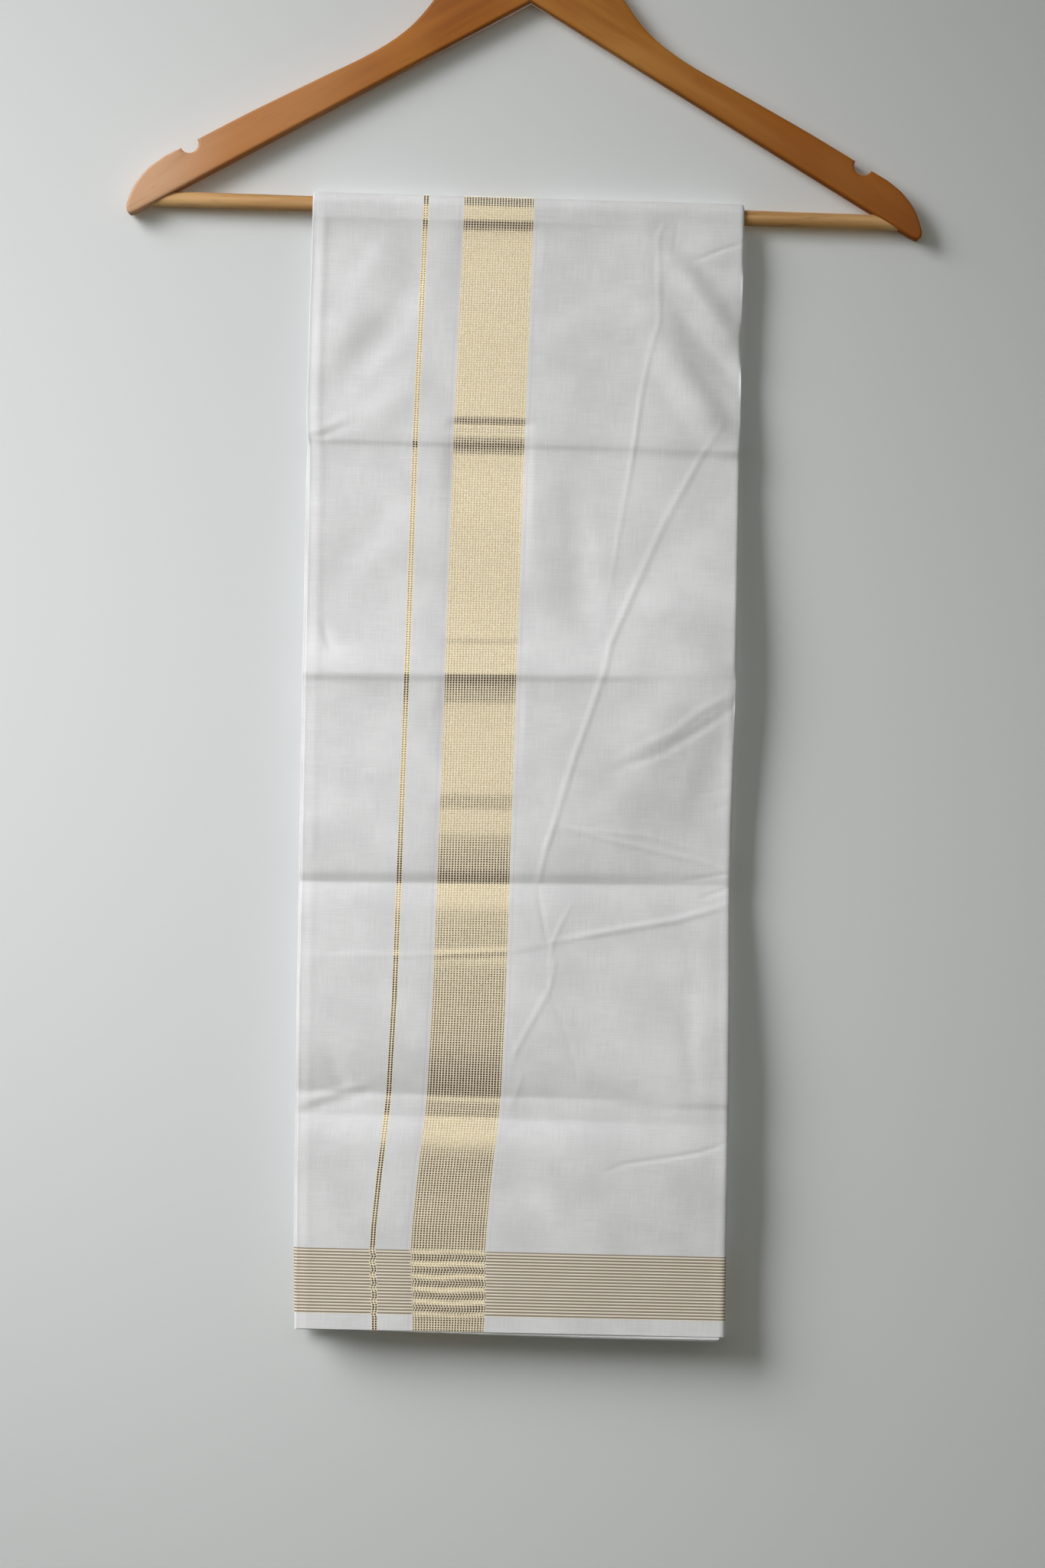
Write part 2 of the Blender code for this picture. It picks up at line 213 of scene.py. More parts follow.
BACK_TILT = (
    # drop, outward run per mm of drop at the left and middle, the same at the right
    (0.0, 0.000, 0.000),
    (6.0, 0.000, 0.000),
    (7.0, -0.100, -0.120),
    (14.0, -0.060, -0.060),
    (20.0, 0.014, 0.014),
    (126.0, 0.024, 0.024),
    (131.0, 0.220, 0.190),
    (132.4, -0.100, -0.090),
    (150.0, -0.030, -0.030),
    (190.0, -0.016, -0.016),
    (252.0, -0.040, -0.040),
    (260.0, -0.220, -0.200),
    (262.0, 0.190, 0.170),
    (272.0, 0.040, 0.040),
    (330.0, 0.022, 0.022),
    (374.0, 0.090, 0.090),
    (376.5, -0.290, -0.250),
    (388.0, -0.050, -0.050),
    (440.0, -0.012, -0.012),
    (490.0, -0.030, -0.030),
    (495.9, -0.150, -0.150),
    (497.6, 0.110, 0.110),
    (560.0, 0.012, 0.012),
    (640.0, 0.004, 0.004),
)

FRONT_FOLDS = (
    # height, half width (mm), then the points that it runs through (x, z in mm)
    (0.36, 2.2, ((79.7, -211), (71.5, -229), (73, -277), (68.5, -292), (64, -314), (58, -361))),
    (0.26, 2.2, ((64, -314), (58, -361), (52, -398), (47, -432))),
    (-0.20, 2.0, ((83.5, -212), (81.8, -226), (80.2, -241))),
    (0.44, 3.0, ((108, -335), (97, -352), (77, -390), (62.5, -423.5), (49, -456))),
    (0.42, 3.0, ((62.5, -423.5), (49, -456), (45.5, -473), (29.6, -521), (20, -554.5), (15, -571))),
    (0.34, 2.6, ((20, -554.5), (15, -571), (10.4, -592))),
    (-0.32, 2.2, ((10.4, -593), (13.3, -608), (16, -622))),
    (0.26, 2.0, ((30, -601), (24, -613), (19.5, -623), (18, -640))),
    (0.36, 2.4, ((22, -629), (18, -650), (5, -674), (-6, -697))),
    (0.22, 2.2, ((4, -697), (-4, -722))),
    (0.56, 3.2, ((19.5, -623), (55, -616), (88, -610), (121, -600))),
    (0.24, 3.0, ((19.5, -623), (-6, -629), (-60, -632), (-116, -633))),
    (-0.34, 2.4, ((101, -598), (121, -590.5))),
    (0.32, 2.8, ((20, -558), (54, -567), (105, -578), (116, -582))),
    (0.22, 2.2, ((24, -560), (70, -563), (96, -570))),
    (-0.30, 2.2, ((92, -588), (121, -583))),
    (0.34, 4.2, ((121, -482), (100, -493), (84, -506), (56, -519))),
    (-0.44, 4.2, ((121, -489), (98, -505), (78, -517), (52, -527))),
    (-0.20, 1.8, ((121, -534), (96, -541))),
    (-0.20, 1.8, ((121, -543), (106, -549))),
    (-0.42, 2.2, ((121.5, -231.5), (108, -236), (91, -242.5))),
    (-0.40, 3.6, ((106, -222), (114, -225), (121, -229))),
    (0.30, 2.4, ((104, -219.5), (113, -220), (121, -222))),
    (0.26, 1.9, ((101, -267), (84, -279))),
    (-0.44, 2.2, ((121, -732), (104, -738.5), (86, -742), (61, -746), (50, -751))),
    (-0.16, 2.0, ((14, -640), (30, -680), (38, -712))),
    (0.16, 2.0, ((-4, -525), (14, -552))),
    (-0.20, 1.7, ((-122, -219.4), (0, -220.4), (121, -221.6))),
    (-2.40, 12.0, ((74, -226), (98, -244), (121, -257))),
    (3.70, 13.0, ((80, -247), (101, -272), (121, -296))),
    (-2.50, 11.0, ((80, -260), (97, -284), (119, -312))),
    (3.70, 15.0, ((68, -277), (91, -314), (111, -345))),
    (0.65, 13.0, ((-72, -226), (-94, -262), (-110, -300))),
    (-1.30, 14.0, ((-60, -246), (-76, -280), (-104, -314))),
    (0.60, 14.0, ((-54, -301), (-74, -323), (-94, -339))),
    (0.34, 4.5, ((-96, -330), (-110, -338), (-122, -341))),
    (-0.36, 4.0, ((-100, -338), (-112, -343), (-122, -346))),
    (-0.30, 12.0, ((-56, -368), (-78, -384), (-96, -404), (-108, -430))),
    (0.35, 13.0, ((-60, -392), (-84, -414), (-100, -440))),
    (0.50, 12.0, ((2, -369), (8, -410), (17, -450))),
    (-0.90, 14.0, ((25, -364), (31, -410), (36, -454))),
    (1.00, 12.0, ((62, -437), (83, -438), (102, -444))),
    (0.90, 12.0, ((-112, -465), (-90, -474), (-68, -481))),
    (-0.60, 4.0, ((-112, -448), (-106, -464))),
    (1.00, 22.0, ((87, -478), (74, -512), (60, -544))),
    (-1.10, 18.0, ((117, -498), (108, -530), (100, -558))),
    (0.40, 14.0, ((-110, -530), (-96, -566), (-66, -584))),
    (-0.60, 12.0, ((-104, -640), (-86, -652), (-70, -656))),
    (-0.70, 8.0, ((-104, -688), (-98, -700), (-94, -712))),
    (-0.40, 6.0, ((-122, -722), (-100, -714), (-78, -708))),
    (0.50, 5.0, ((-121, -716), (-98, -709), (-84, -704))),
    (0.30, 10.0, ((-110, -762), (-86, -780), (-70, -786))),
    (0.40, 12.0, ((20, -756), (26, -780), (44, -792))),
    (-0.40, 10.0, ((44, -756), (52, -776), (64, -790))),
    (-0.60, 12.0, ((-10, -752), (4, -762), (14, -770))),
    (-0.40, 10.0, ((20, -694), (46, -706), (60, -712))),
    (0.45, 12.0, ((104, -610), (107, -650), (109, -690))),
    (-0.40, 8.0, ((94, -650), (97, -690), (100, -720))),
)

BAND_STEPS = (
    # drop, height of the stiffer gold band against the cotton beside it (mm)
    (0.0, 0.00),
    (6.4, 0.00),
    (7.2, -0.08),
    (11.4, -0.74),
    (12.4, -0.74),
    (60.0, 0.00),
    (116.6, 0.00),
    (117.2, -0.08),
    (121.0, -1.12),
    (121.8, -1.12),
    (126.8, -0.52),
    (127.6, -0.58),
    (137.8, -1.42),
    (145.0, -1.42),
    (165.0, -0.80),
    (239.0, 0.00),
    (240.0, -0.08),
    (244.0, -0.66),
    (246.0, -0.62),
    (260.0, -0.10),
    (268.0, -0.80),
    (276.0, -1.16),
    (326.0, 0.04),
    (328.0, -0.02),
    (335.0, -0.44),
    (337.0, -0.42),
    (349.0, -0.10),
    (366.0, -0.34),
    (380.0, -0.26),
    (412.0, -0.36),
    (438.0, -0.40),
    (500.0, -0.30),
    (640.0, -0.30),
)

BACK_FOLDS = (
    # height, half width (mm), then the points that it runs through (x, z in mm)
    (0.50, 10.0, ((-80, -240), (-52, -330), (-30, -430))),
    (-0.35, 9.0, ((-60, -250), (-34, -330), (-16, -410))),
    (0.45, 9.0, ((20, -480), (56, -560), (84, -630))),
    (-0.35, 8.0, ((40, -486), (70, -552), (98, -606))),
    (0.40, 8.0, ((-112, -610), (-60, -650), (-14, -710))),
    (0.26, 4.0, ((119, -480), (88, -500), (60, -532))),
    (-0.26, 4.0, ((119, -470), (84, -492), (52, -526))),
    (0.26, 4.0, ((-122, -600), (-80, -604), (-30, -616))),
    (-0.30, 8.0, ((-116, -250), (-100, -290), (-110, -340))),
    (0.35, 8.0, ((104, -240), (88, -290), (96, -340))),
)

ROW_SPACING = (
    # from drop, to drop, spacing (mm)
    (0.0, 6.0, 1.5),
    (6.0, 34.0, 0.95),
    (34.0, 114.0, 2.3),
    (114.0, 150.0, 0.9),
    (150.0, 238.0, 2.4),
    (238.0, 312.0, 1.1),
    (312.0, 340.0, 1.4),
    (340.0, 420.0, 1.0),
    (420.0, 466.0, 2.2),
    (466.0, 550.0, 1.15),
    (550.0, 574.0, 1.9),
    (574.0, 625.65, 0.92),
)

BACK_ROWS = (
    # from drop, to drop, spacing (mm)
    (0.0, 20.0, 3.3),
    (20.0, 120.0, 6.0),
    (120.0, 140.0, 1.2),
    (140.0, 252.0, 6.0),
    (252.0, 272.0, 1.2),
    (272.0, 368.0, 6.0),
    (368.0, 388.0, 1.2),
    (388.0, 486.0, 6.0),
    (486.0, 504.0, 1.2),
    (504.0, 580.0, 5.0),
    (580.0, 627.85, 2.0),
)

BAND_LINE = (
    # drop, middle of the wide gold band, its width (mm)
    (-6.0, -17.4, 39.3),
    (129.0, -20.9, 40.0),
    (247.0, -23.0, 40.1),
    (439.0, -26.5, 41.0),
    (494.0, -28.5, 41.6),
    (509.0, -29.7, 41.6),
    (540.0, -32.9, 41.6),
    (568.0, -35.2, 42.0),
    (580.0, -35.8, 42.0),
    (608.0, -34.8, 41.0),
    (627.0, -35.0, 39.8),
)

LEFT_PUFF = (
    # drop, how full the puffed left fold is
    (4.0, 0.30),
    (10.0, 1.00),
    (125.0, 1.00),
    (140.0, 0.70),
    (230.0, 0.60),
    (260.0, 0.35),
    (620.0, 0.40),
)

RIGHT_PUFF = (
    # drop, how full the puffed spine at the right is
    (250.0, 0.20),
    (280.0, 1.00),
)

SUNKEN = (
    # depth, from where across, over what width, then the drops where it comes and goes (mm)
    (1.6, 85.0, 35.0, (20.0, 50.0, 120.0, 132.0)),
    (1.9, 95.0, 25.0, (252.0, 262.0, 278.0, 300.0)),
)

FRONT_CRUMPLES = (
    # size of the crumples (m), seed, height (mm)
    (0.045, 2.1, 0.090),
    (0.016, 9.7, 0.050),
    (0.0065, 5.3, 0.022),
)

BACK_CRUMPLES = (
    # size of the crumples (m), seed, height (mm)
    (0.045, 4.1, 0.050),
)


def mm_column(table, index, scale=0.001):
    """One column of a table in millimetres, read in metres."""
    return np.array([row[index] for row in table]) * scale


def read_table(table, keys, index, scale=0.001):
    """Values between the rows of a table, along its first column."""
    return np.interp(keys, mm_column(table, 0), mm_column(table, index, scale))


def run_out(table, drops, index):
    """How far the tilts of a table carry the cloth out, from the bar down to each drop."""
    knots = mm_column(table, 0)
    tilts = mm_column(table, index, 1)
    steps = np.diff(knots) * (tilts[1:] + tilts[:-1]) / 2
    totals = np.concatenate(([0.0], np.cumsum(steps)))
    found = np.clip(np.searchsorted(knots, drops, side="right") - 1, 0, len(knots) - 2)
    past = drops - knots[found]
    share = past / (knots[found + 1] - knots[found])
    here = tilts[found] + (tilts[found + 1] - tilts[found]) * share
    return totals[found] + past * (tilts[found] + here) / 2


def rising(value, start, width):
    """How far a value is past its start, from 0 to 1 over a width."""
    return np.clip((value - start) / width, 0, 1)


def eased(value, start, width):
    """The same with a soft start and end."""
    share = rising(value, start, width)
    return share * share * (3 - 2 * share)


def hump(away, height, middle, width):
    """A round ridge that runs beside an edge."""
    return height * np.exp(-((away - middle) / width) ** 2)


def bell(x, z, points, half_width):
    """A soft ridge round a line of points: 1 along it, 0 at its half width, fading at its ends."""
    nearest = np.full(x.shape, np.inf)
    along = np.zeros(x.shape)
    lengths = [math.dist(a, b) for a, b in zip(points, points[1:])]
    before = 0.0
    for (x0, z0), (x1, z1), length in zip(points, points[1:], lengths):
        share = np.clip(((x - x0) * (x1 - x0) + (z - z0) * (z1 - z0)) / length ** 2, 0, 1)
        away = np.hypot(x - x0 - share * (x1 - x0), z - z0 - share * (z1 - z0))
        along = np.where(away < nearest, before + share * length, along)
        nearest = np.minimum(away, nearest)
        before += length
    ends = np.minimum(along, before - along) / before
    fade = 0.35 + 0.65 * np.clip(ends / 0.25, 0, 1)
    return 0.5 * (1 + np.cos(math.pi * np.minimum(nearest / half_width, 1))) * fade


def crumple(x, z, size, seed):
    """Smooth irregular noise over the cloth, between -1 and 1."""
    places = zip(x.ravel() / size, z.ravel() / size)
    return np.array([noise.noise(Vector((a, seed, b))) for a, b in places]).reshape(x.shape)


def wrap_thickness(x):
    """Thickness of the stack where the bar presses it, thinner at the open left side."""
    return np.interp(x, (STRIP_LEFT, STRIP_RIGHT), (WRAP_LEFT, WRAP_RIGHT))


def bar_height(x):
    """Height of the bar's axis, which leans with the hanger."""
    from_middle = x + BAR_DROP * math.sin(HANGER_LEAN)
    return -BAR_DROP * math.cos(HANGER_LEAN) - from_middle * math.tan(HANGER_LEAN)


def fall_face(side, drops, x):
    """Distance of a fall's outer face from the hanger's middle plane, with its packet creases."""
    table = FRONT_TILT if side < 0 else BACK_TILT
    right = eased(x, RIGHT_FROM, RIGHT_EASE)
    reach = BAR_RADIUS + SEAT_GAP + wrap_thickness(x)
    return reach + run_out(table, drops, 1) * (1 - right) + run_out(table, drops, 2) * right


def stack_share(drops, x):
    """How thick the stack is at a drop, against its full thickness."""
    pressed = wrap_thickness(x) / STACK
    return pressed + (1 - pressed) * eased(drops, 0, STACK_SETTLES_BY)


def fold_relief(side, drops, x, z, left, right):
    """Height of the slanting folds, soft swells and side edges on top of the packet creases."""
    folds = FRONT_FOLDS if side < 0 else BACK_FOLDS
    height = np.zeros(x.shape)
    for rise, half_width, points in folds:
        height += rise * bell(x * 1000, z * 1000, points, half_width)
    for size, seed, rise in FRONT_CRUMPLES if side < 0 else BACK_CRUMPLES:
        height += rise * crumple(x, z, size, seed)
    if side < 0:
        middle = read_table(BAND_LINE, drops, 1)
        off_band = eased(np.abs(x - middle), STEP_REACH - STEP_EASE, STEP_EASE)
        height += read_table(BAND_STEPS, drops, 1, 1) * (1 - off_band)
        from_left = (x - left) * 1000
        puffed = hump(from_left, *LEFT_RIDGE) - hump(from_left, *LEFT_DIP)
        height += read_table(LEFT_PUFF, drops, 1, 1) * puffed
        from_right = (right - x) * 1000
        height += read_table(RIGHT_PUFF, drops, 1, 1) * hump(from_right, *RIGHT_RIDGE)
        for depth, start, width, span in SUNKEN:
            sunk = np.interp(drops * 1000, span, (0, 1, 1, 0))
            height -= depth * sunk * rising(x * 1000, start, width) ** 2
    return height / 1000


def strip_place(row, x, depth, across_left, across_right):
    """Points of the hung strip on one row: x across, depth in from the outer face."""
    part, value = row
    if part == 0:
        share = wrap_thickness(x) / STACK
        reach = BAR_RADIUS + SEAT_GAP + (STACK - depth) * share
        return -reach * np.cos(value), bar_height(x) + reach * np.sin(value)
    drops = np.full(x.shape, value)
    left = read_table(ROW_LINES, drops, 1)
    right = read_table(ROW_LINES, drops, 2)
    z = left + (right - left) * (x - across_left) / (across_right - across_left)
    return part * (fall_face(part, drops, x) - depth * stack_share(drops, x)), z


def spaced(table, reverse=False):
    """Drops down a fall, close together where the cloth bends most."""
    drops = []
    for start, end, step in table:
        count = round((end - start) / step)
        drops += [(start + (end - start) * index / count) / 1000 for index in range(count)]
    drops.append(table[-1][1] / 1000)
    return drops[::-1] if reverse else drops


def cloth_mesh(name, rows):
    """A smooth grid through rows of points, each x, y and z and the cloth's own measure as UV."""
    points = np.array(rows).transpose(0, 2, 1)
    mesh = bpy.data.meshes.new(name)
    bm = bmesh.new()
    bmesh.ops.create_grid(bm, x_segments=points.shape[1] - 1, y_segments=points.shape[0] - 1, size=1)
    for face in bm.faces:
        face.smooth = True
    bm.to_mesh(mesh)
    bm.free()
    mesh.vertices.foreach_set("co", points[:, :, :3].astype(np.float32).ravel())
    corners = np.empty(len(mesh.loops), dtype=np.int32)
    mesh.loops.foreach_get("vertex_index", corners)
    measure = points[:, :, 3:].reshape(-1, 2)[corners]
    mesh.uv_layers.new(name="cloth_measure").data.foreach_set("uv", measure.astype(np.float32).ravel())
    mesh.update()
    return mesh


def add_piece(name, mesh, material, slot, *nodes):
    """Put a piece in the scene on the one body, in place of its CAD nodes."""
    piece = bpy.data.objects.new(name, mesh)
    bpy.context.scene.collection.objects.link(piece)
    piece.data.materials.append(material)
    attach(piece, "root")
    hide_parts(*nodes)
    return piece


def add_node(tree, kind, inputs=None, **settings):
    """One node with its settings, and a value or a link for each input named."""
    made = tree.nodes.new("ShaderNode" + kind)
    for key, value in settings.items():
        setattr(made, key, value)
    for key, value in (inputs or {}).items():
        if isinstance(value, bpy.types.NodeSocket):
            tree.links.new(value, made.inputs[key])
        else:
            made.inputs[key].default_value = value
    return made


def calc(tree, operation, *values):
    """The result of one Math node."""
    return add_node(tree, "Math", dict(enumerate(values)), operation=operation).outputs[0]


def ramp(tree, value, low, high, to_low=0.0, to_high=1.0):
    """A value mapped smoothly from one range to another."""
    made = add_node(tree, "MapRange", {"Value": value, "From Min": low, "From Max": high,
                                       "To Min": to_low, "To Max": to_high},
                    interpolation_type="SMOOTHSTEP")
    return made.outputs["Result"]


def new_group(name, inputs, outputs):
    """A node group with named inputs and outputs; gives the group, its input and output nodes."""
    group = bpy.data.node_groups.new(name, "ShaderNodeTree")
    for label, kind in inputs.items():
        group.interface.new_socket(label, in_out="INPUT", socket_type="NodeSocket" + kind)
    for label, kind in outputs.items():
        group.interface.new_socket(label, in_out="OUTPUT", socket_type="NodeSocket" + kind)
    return group, group.nodes.new("NodeGroupInput"), group.nodes.new("NodeGroupOutput")


def mixed(tree, share, first, second, **settings):
    """Two colours mixed by a share."""
    made = add_node(tree, "MixRGB", {"Fac": share, "Color1": first, "Color2": second}, **settings)
    return made.outputs[0]


def new_material(name):
    """A material; gives it, its nodes and its surface shader."""
    material = bpy.data.materials.new(name)
    material.use_nodes = True
    return material, material.node_tree, material.node_tree.nodes["Principled BSDF"]


def stretched_noise(tree, vector, scale, detail=2.0):
    """Noise drawn out by a different scale along each axis."""
    scaled = add_node(tree, "VectorMath", {0: vector, 1: scale}, operation="MULTIPLY")
    made = add_node(tree, "TexNoise", {"Vector": scaled.outputs[0], "Scale": 1.0, "Detail": detail})
    return made.outputs["Fac"]


# Plain weave: the threads' bumps, with slubs along both directions and a few dark specks
weave, given, out = new_group("plain_weave", {"Vector": "Vector", "Thread": "Float"},
                              {"Height": "Float", "Shade": "Float", "Specks": "Float"})
place = add_node(weave, "SeparateXYZ", {0: given.outputs["Vector"]})
turns = calc(weave, "DIVIDE", 2 * math.pi, given.outputs["Thread"])
warp = calc(weave, "SINE", calc(weave, "MULTIPLY", place.outputs["X"], turns))
weft = calc(weave, "SINE", calc(weave, "MULTIPLY", place.outputs["Y"], turns))
threads = calc(weave, "MULTIPLY", warp, weft)
warp_slubs = stretched_noise(weave, given.outputs["Vector"], (1900, 60, 1))
weft_slubs = stretched_noise(weave, given.outputs["Vector"], (60, 1900, 1))
slubs = calc(weave, "ADD", warp_slubs, weft_slubs)
patches = stretched_noise(weave, given.outputs["Vector"], (30, 30, 1), 4.0)
flecks = add_node(weave, "TexVoronoi", {"Vector": given.outputs["Vector"], "Scale": 34.0})
weave.links.new(calc(weave, "MULTIPLY_ADD", threads, 0.3, slubs), out.inputs["Height"])
weave.links.new(calc(weave, "ADD", calc(weave, "MULTIPLY", slubs, 0.5), patches), out.inputs["Shade"])
weave.links.new(ramp(weave, flecks.outputs["Distance"], 0.007, 0.013, 1.0, 0.0), out.inputs["Specks"])

# Gold columns: gold warp threads in a band, with cream cotton lines between and small openings between
# the floats, which the material darkens with painted shade
columns, given, out = new_group(
    "gold_columns", {"Across": "Float", "Along": "Float", "Half Width": "Float", "Pitch": "Float",
                     "Row": "Float", "Gold Share": "Float"},
    {"Gold": "Float", "Gap Shade": "Float", "Inside": "Float", "Height": "Float"})
away = calc(columns, "ABSOLUTE", given.outputs["Across"])
margin = calc(columns, "SUBTRACT", given.outputs["Half Width"], away)
inside = ramp(columns, margin, -0.00008, 0.00008)
turn = calc(columns, "DIVIDE", given.outputs["Across"], given.outputs["Pitch"])
turn = calc(columns, "FRACT", calc(columns, "ADD", turn, 100.0))
from_middle = calc(columns, "ABSOLUTE", calc(columns, "SUBTRACT", turn, 0.5))
half_share = calc(columns, "MULTIPLY", given.outputs["Gold Share"], 0.5)
thread = ramp(columns, calc(columns, "SUBTRACT", half_share, from_middle), -0.05, 0.05)
step = calc(columns, "DIVIDE", given.outputs["Along"], given.outputs["Row"])
step = calc(columns, "FRACT", calc(columns, "ADD", step, 100.0))
from_row = calc(columns, "ABSOLUTE", calc(columns, "SUBTRACT", step, 0.5))
row_gap = ramp(columns, from_row, 0.14, 0.26, 1.0, 0.0)
column_gap = ramp(columns, from_middle, 0.16, 0.32, 1.0, 0.0)
edge = calc(columns, "MULTIPLY", inside, ramp(columns, margin, 0.0002, 0.0004, 1.0, 0.0))
# Where the openings between the gold floats are; the material paints shade there.
gap_shade_mask = calc(columns, "MULTIPLY", calc(columns, "MULTIPLY", row_gap, column_gap),
           calc(columns, "MULTIPLY", inside, ramp(columns, margin, 0.0004, 0.0006)))
crossing = ramp(columns, from_row, 0.30, 0.42, 1.0, 0.35)
gold = calc(columns, "MULTIPLY", calc(columns, "MULTIPLY", thread, inside),
            calc(columns, "MULTIPLY", crossing, calc(columns, "SUBTRACT", 1.0, edge)))
columns.links.new(gold, out.inputs["Gold"])
columns.links.new(gap_shade_mask, out.inputs["Gap Shade"])
columns.links.new(inside, out.inputs["Inside"])
columns.links.new(calc(columns, "MULTIPLY", gold, calc(columns, "SUBTRACT", 1.0, row_gap)),
                  out.inputs["Height"])

# Gold lines: the cross border's gold weft lines above the hem, with cotton between
lines, given, out = new_group(
    "gold_lines", {"From Hem": "Float", "Start": "Float", "End": "Float", "Pitch": "Float"},
    {"Gold": "Float", "Inside": "Float", "Height": "Float"})
past_start = calc(lines, "SUBTRACT", given.outputs["From Hem"], given.outputs["Start"])
before_end = calc(lines, "SUBTRACT", given.outputs["End"], given.outputs["From Hem"])
zone = calc(lines, "MULTIPLY", ramp(lines, past_start, -0.0002, 0.0002),
            ramp(lines, before_end, -0.0002, 0.0002))
beat = calc(lines, "FRACT", calc(lines, "DIVIDE", past_start, given.outputs["Pitch"]))
off_line = calc(lines, "ABSOLUTE", calc(lines, "SUBTRACT", beat, 0.5))
line = calc(lines, "MULTIPLY", ramp(lines, off_line, 0.20, 0.34, 1.0, 0.0), zone)
lines.links.new(line, out.inputs["Gold"])
lines.links.new(zone, out.inputs["Inside"])
lines.links.new(line, out.inputs["Height"])

GREY_COTTON = (0.688, 0.694, 0.702, 1)
WHITE_COTTON = (0.798, 0.805, 0.812, 1)
# Cream cotton between the gold threads, lighter than the white cotton: its own cream tint with a painted
# sheen on top.
CREAM_COTTON_AND_SHEEN = (0.935, 0.845, 0.68, 1)
GHOST_LINE = (0.72, 0.62, 0.68, 1)
DARK_SPECK = (0.22, 0.20, 0.19, 1)
# The border's gold weft lines are painted dark brown, a painted dark reflection of the gold, with little
# metal left in them.
BORDER_GOLD_DARK_REFLECTION = (0.285, 0.232, 0.172, 1)
GOLD_THREAD = (0.90, 0.745, 0.45, 1)
# Painted shade: the dark brown put into the openings between the gold floats.
GAP_SHADE_COLOUR = (0.17, 0.10, 0.040, 1)

cotton, tree, shader = new_material("dhoti_cotton_woven")
measure = add_node(tree, "UVMap", uv_map="cloth_measure").outputs["UV"]
place = add_node(tree, "SeparateXYZ", {0: measure})
across, along = place.outputs["X"], place.outputs["Y"]
strip_length = 2 * HEM_DROP + BACK_HEM_LONGER + OVER_BAR
from_hem = calc(tree, "MINIMUM", along, calc(tree, "SUBTRACT", strip_length, along))
woven = add_node(tree, "Group", {"Vector": measure, "Thread": THREAD_PITCH}, node_tree=weave)
wide = add_node(tree, "Group", {"Across": across, "Along": along, "Half Width": BAND_HALF,
                                "Pitch": BAND_PITCH, "Row": GOLD_ROWS, "Gold Share": GOLD_SHARE},
                node_tree=columns)
beside_stripe = calc(tree, "SUBTRACT", across, STRIPE_PLACE)
narrow = add_node(tree, "Group", {"Across": beside_stripe, "Along": along, "Half Width": STRIPE_HALF,
                                  "Pitch": STRIPE_PITCH, "Row": GOLD_ROWS, "Gold Share": GOLD_SHARE},
                  node_tree=columns)
border = add_node(tree, "Group", {"From Hem": from_hem, "Start": BORDER_START, "End": BORDER_END,
                                  "Pitch": BORDER_PITCH}, node_tree=lines)

in_bands = calc(tree, "MAXIMUM", wide.outputs["Inside"], narrow.outputs["Inside"])
in_gold = calc(tree, "MAXIMUM", in_bands, border.outputs["Inside"])
crossed = calc(tree, "SINE", calc(tree, "MULTIPLY", across, 2 * math.pi / CROSSING_PITCH))
border_gold = calc(tree, "MULTIPLY", border.outputs["Gold"], calc(tree, "SUBTRACT", 1.0, in_bands))
border_gold = calc(tree, "MULTIPLY", border_gold, calc(tree, "MULTIPLY_ADD", crossed, 0.10, 0.88))
band_gold = calc(tree, "MAXIMUM", wide.outputs["Gold"], narrow.outputs["Gold"])
# Painted shade in the openings between the gold floats; at the narrow stripe it is 2.1 times as strong,
# which paints the whole stripe darker.
gap_shade = calc(tree, "MAXIMUM", wide.outputs["Gap Shade"], calc(tree, "MULTIPLY", narrow.outputs["Gap Shade"], 2.1))
gold = calc(tree, "MAXIMUM", band_gold, calc(tree, "MULTIPLY", border_gold, CROSSED_GOLD))

beside_band = calc(tree, "SUBTRACT", calc(tree, "ABSOLUTE", across), BAND_EDGE_LINE)
ghost = ramp(tree, calc(tree, "ABSOLUTE", beside_band), 0.0002, 0.0007, 0.5, 0.0)
specks = calc(tree, "MULTIPLY", woven.outputs["Specks"], 0.55)
colour = mixed(tree, ramp(tree, woven.outputs["Shade"], 0.75, 1.25), GREY_COTTON, WHITE_COTTON)
colour = mixed(tree, ghost, colour, GHOST_LINE)
colour = mixed(tree, specks, colour, DARK_SPECK)
# Cream tint with painted sheen over all the gold zones.
colour = mixed(tree, calc(tree, "MULTIPLY", in_gold, 0.8), colour, CREAM_COTTON_AND_SHEEN)
# The border lines take the painted dark reflection colour of their gold.
colour = mixed(tree, border_gold, colour, BORDER_GOLD_DARK_REFLECTION)
colour = mixed(tree, band_gold, colour, GOLD_THREAD)
# Painted shade laid into the openings between the gold floats.
colour = mixed(tree, calc(tree, "MULTIPLY", gap_shade, 0.45), colour, GAP_SHADE_COLOUR)
tree.links.new(colour, shader.inputs["Base Color"])
tree.links.new(gold, shader.inputs["Metallic"])
tree.links.new(ramp(tree, gold, 0.0, 1.0, 0.88, 0.17), shader.inputs["Roughness"])
shader.inputs["Sheen Weight"].default_value = 0.08
shader.inputs["Sheen Roughness"].default_value = 0.5
shader.inputs["Specular IOR Level"].default_value = 0.25
thread_bump = add_node(tree, "Bump", {"Height": woven.outputs["Height"], "Distance": 0.00005,
                                      "Strength": ramp(tree, in_bands, 0.0, 1.0, 1.0, 0.25)})
gold_height = calc(tree, "MAXIMUM", wide.outputs["Height"], border.outputs["Height"])
gold_bump = add_node(tree, "Bump", {"Height": gold_height, "Distance": 0.00004, "Strength": 0.5,
                                    "Normal": thread_bump.outputs["Normal"]})
tree.links.new(gold_bump.outputs["Normal"], shader.inputs["Normal"])

SPINE = STACK / 2
TURN_POINTS = 5
SPINE_POINTS = 6
EDGE_COLUMNS = 16
LEFT_COLUMNS = 54
RIGHT_COLUMNS = 104
EDGE_SHARE = 0.055
BAR_ROWS = 16

